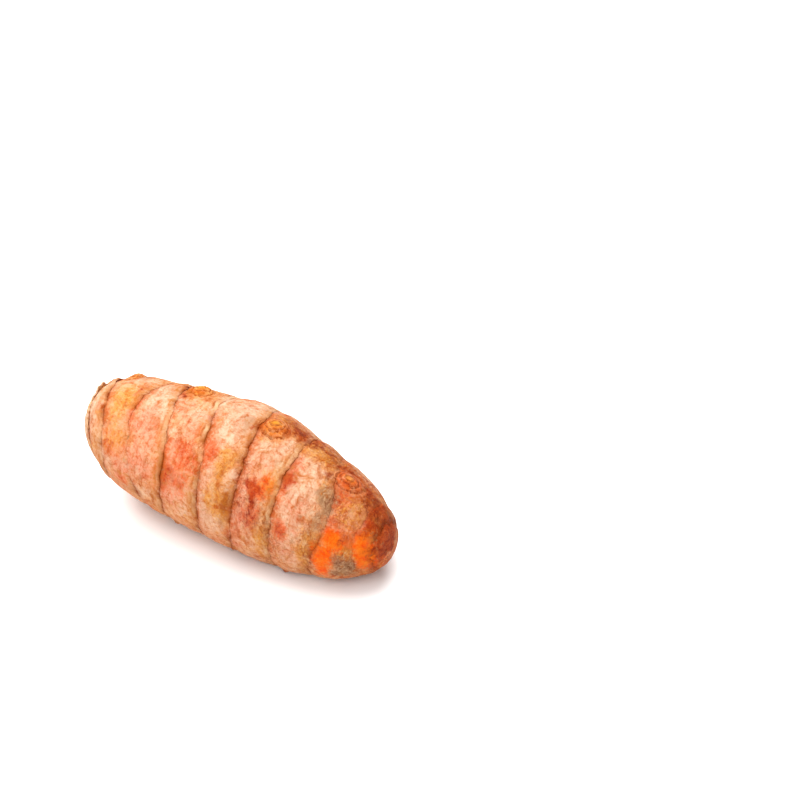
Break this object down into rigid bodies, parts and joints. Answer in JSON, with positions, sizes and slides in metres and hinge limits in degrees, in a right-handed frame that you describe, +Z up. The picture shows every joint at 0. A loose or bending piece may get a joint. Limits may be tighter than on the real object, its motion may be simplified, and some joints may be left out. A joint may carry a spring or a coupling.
{
  "type": "turmeric root",
  "caption": "Whole fresh turmeric finger: a blunt, gently tapered rhizome with leaf-scar rings, round buds and papery orange-tan skin, lying on its belly.",
  "frame": {"origin": "centre of the bottom of the root's box, on the surface that it lies on", "axes": "+X along the root from the broken base to the growing tip, +Z up from the surface"},
  "size_m": [0.0624, 0.0274, 0.0257],
  "materials": {
    "skin": "thin dry papery skin, cream to salmon, with ochre and brown rings, grey cork and rubbed orange patches; satin on the rubbed places"
  },
  "bodies": {
    "root": {"rhizome": "skin"}
  },
  "joints": []
}
